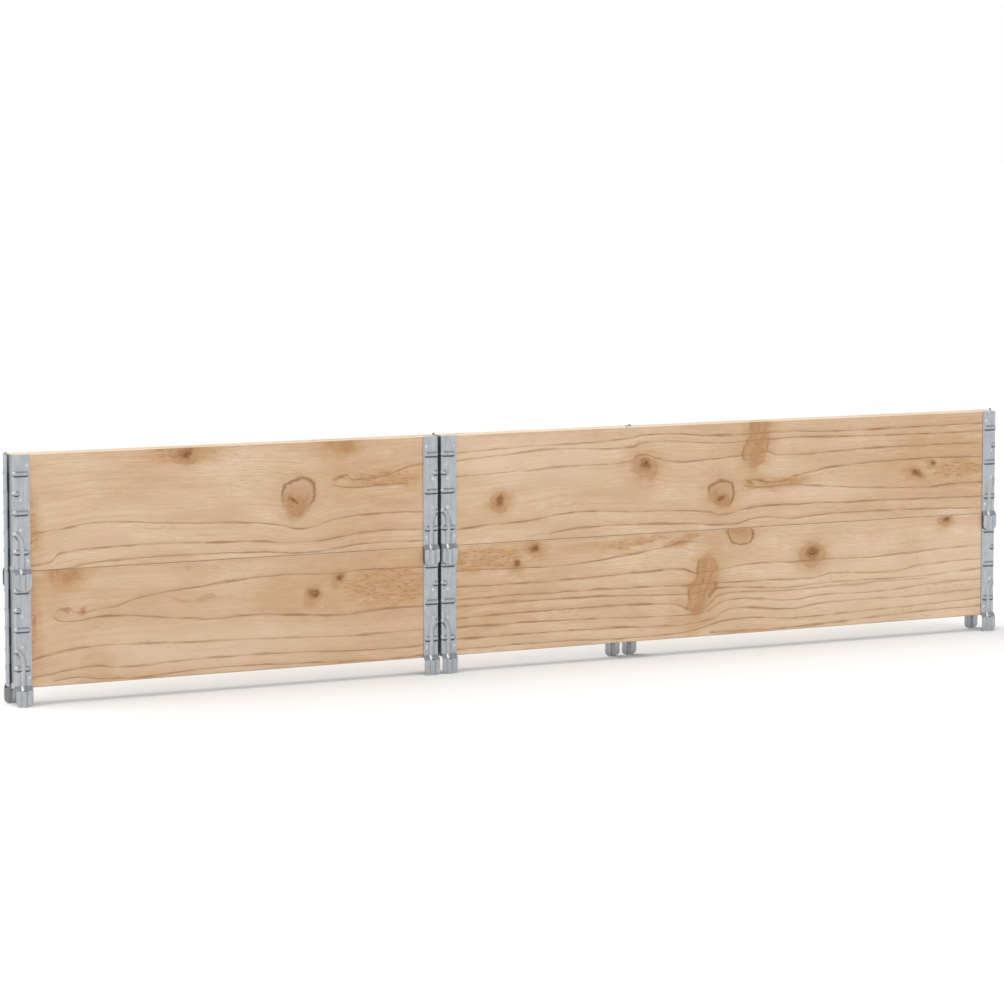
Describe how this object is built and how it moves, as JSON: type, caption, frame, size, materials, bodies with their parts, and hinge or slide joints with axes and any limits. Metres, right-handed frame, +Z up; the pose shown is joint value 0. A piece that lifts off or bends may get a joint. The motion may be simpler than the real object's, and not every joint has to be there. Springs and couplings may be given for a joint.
{
  "type": "wooden pallet collar",
  "caption": "Folding timber pallet collars, stacked and folded flat, with pressed steel corner hinges whose joggled feet hook over the edge below.",
  "frame": {"origin": "middle of the folded stack at the level of the feet's ends", "axes": "+X along the folded length, +Y from the front layer to the back layer, +Z up"},
  "size_m": [2.0076, 0.0628, 0.4253],
  "materials": {
    "pine_board": "planed, unfinished",
    "galvanised_leaf": "galvanised, satin",
    "nail_steel": "bright, flat headed",
    "pin_steel": "dull drawn wire"
  },
  "bodies": {
    "lower_front_short": {"lower_front_short_board": "pine_board", "lower_front_short_left_leaf": "galvanised_leaf", "lower_front_short_right_leaf": "galvanised_leaf", "lower_front_short_nails": "nail_steel", "lower_front_short_pin": "pin_steel"},
    "lower_front_long": {"lower_front_long_board": "pine_board", "lower_front_long_left_leaf": "galvanised_leaf", "lower_front_long_right_leaf": "galvanised_leaf", "lower_front_long_nails": "nail_steel", "lower_front_long_pin": "pin_steel"},
    "lower_back_short": {"lower_back_short_board": "pine_board", "lower_back_short_left_leaf": "galvanised_leaf", "lower_back_short_right_leaf": "galvanised_leaf", "lower_back_short_nails": "nail_steel", "lower_back_short_pin": "pin_steel"},
    "lower_back_long": {"lower_back_long_board": "pine_board", "lower_back_long_left_leaf": "galvanised_leaf", "lower_back_long_right_leaf": "galvanised_leaf", "lower_back_long_nails": "nail_steel", "lower_back_long_pin": "pin_steel"},
    "upper_front_short": {"upper_front_short_board": "pine_board", "upper_front_short_left_leaf": "galvanised_leaf", "upper_front_short_right_leaf": "galvanised_leaf", "upper_front_short_nails": "nail_steel", "upper_front_short_pin": "pin_steel"},
    "upper_front_long": {"upper_front_long_board": "pine_board", "upper_front_long_left_leaf": "galvanised_leaf", "upper_front_long_right_leaf": "galvanised_leaf", "upper_front_long_nails": "nail_steel", "upper_front_long_pin": "pin_steel"},
    "upper_back_short": {"upper_back_short_board": "pine_board", "upper_back_short_left_leaf": "galvanised_leaf", "upper_back_short_right_leaf": "galvanised_leaf", "upper_back_short_nails": "nail_steel", "upper_back_short_pin": "pin_steel"},
    "upper_back_long": {"upper_back_long_board": "pine_board", "upper_back_long_left_leaf": "galvanised_leaf", "upper_back_long_right_leaf": "galvanised_leaf", "upper_back_long_nails": "nail_steel", "upper_back_long_pin": "pin_steel"}
  },
  "joints": [
    {"name": "lower_front_fold", "type": "hinge", "parent": "lower_front_long", "child": "lower_front_short", "pos_m": [-0.2, 0, 0.1285], "axis": [0, 0, -1], "range_deg": [0, 180]},
    {"name": "lower_right_fold", "type": "hinge", "parent": "lower_front_long", "child": "lower_back_short", "pos_m": [1, 0, 0.1285], "axis": [0, 0, -1], "range_deg": [0, 180]},
    {"name": "lower_left_fold", "type": "hinge", "parent": "lower_front_short", "child": "lower_back_long", "pos_m": [-1, 0, 0.1285], "axis": [0, 0, 1], "range_deg": [0, 180]},
    {"name": "upper_lift", "type": "slide", "parent": "lower_front_long", "child": "upper_front_long", "axis": [0, 0, 1], "range_m": [0, 0.25]},
    {"name": "upper_front_fold", "type": "hinge", "parent": "upper_front_long", "child": "upper_front_short", "pos_m": [-0.2, 0, 0.3238], "axis": [0, 0, -1], "range_deg": [0, 180]},
    {"name": "upper_right_fold", "type": "hinge", "parent": "upper_front_long", "child": "upper_back_short", "pos_m": [1, 0, 0.3238], "axis": [0, 0, -1], "range_deg": [0, 180]},
    {"name": "upper_left_fold", "type": "hinge", "parent": "upper_front_short", "child": "upper_back_long", "pos_m": [-1, 0, 0.3238], "axis": [0, 0, 1], "range_deg": [0, 180]}
  ],
  "couplings": [
    {"joint": "lower_right_fold", "follows": "lower_front_fold", "ratio": 1},
    {"joint": "lower_left_fold", "follows": "lower_front_fold", "ratio": 1},
    {"joint": "upper_front_fold", "follows": "lower_front_fold", "ratio": 1},
    {"joint": "upper_right_fold", "follows": "lower_front_fold", "ratio": 1},
    {"joint": "upper_left_fold", "follows": "lower_front_fold", "ratio": 1}
  ]
}
